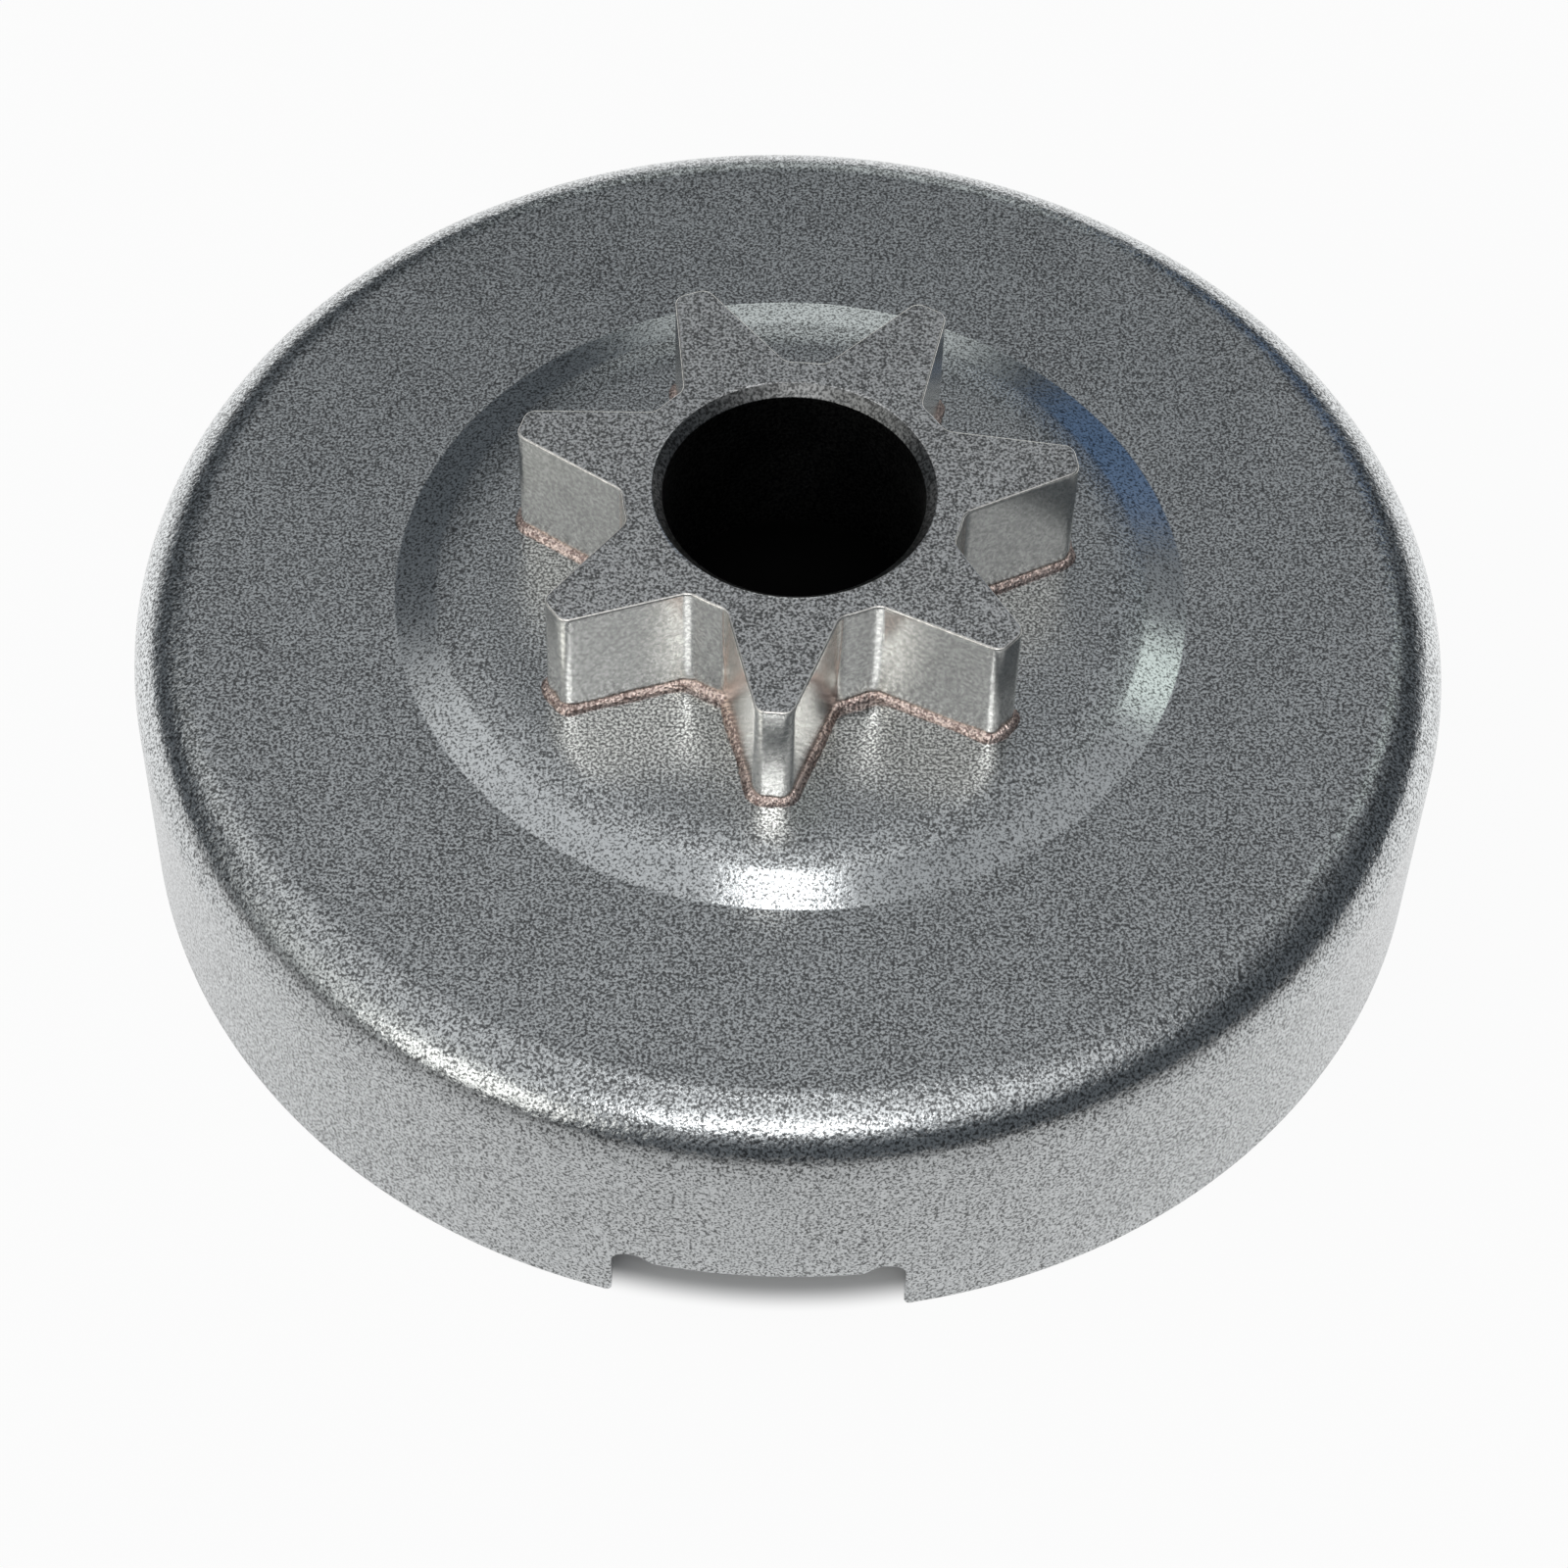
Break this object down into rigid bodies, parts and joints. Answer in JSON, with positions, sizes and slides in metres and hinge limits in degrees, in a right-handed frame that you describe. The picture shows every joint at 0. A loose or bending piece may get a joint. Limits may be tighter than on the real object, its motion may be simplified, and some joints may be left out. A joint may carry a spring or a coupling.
{
  "type": "chainsaw clutch drum",
  "caption": "Pressed steel clutch drum for a chainsaw: a shallow cup with rim notches and a brazed spur sprocket with a needle bearing bore.",
  "frame": {"origin": "centre of the rim's edge, on the surface that the drum stands on", "axes": "+Z along the bore towards the sprocket, -Y through the middle of a rim notch"},
  "size_m": [0.082, 0.082, 0.028],
  "materials": {
    "pressed_steel": "satin, fine pebbled grain",
    "sprocket_steel": "satin, blasted end face and machined flanks",
    "braze_metal": "rough copper-coloured braze"
  },
  "bodies": {
    "root": {"drum_cup": "pressed_steel", "spur_sprocket": "sprocket_steel", "braze_fillet": "braze_metal"}
  },
  "joints": []
}
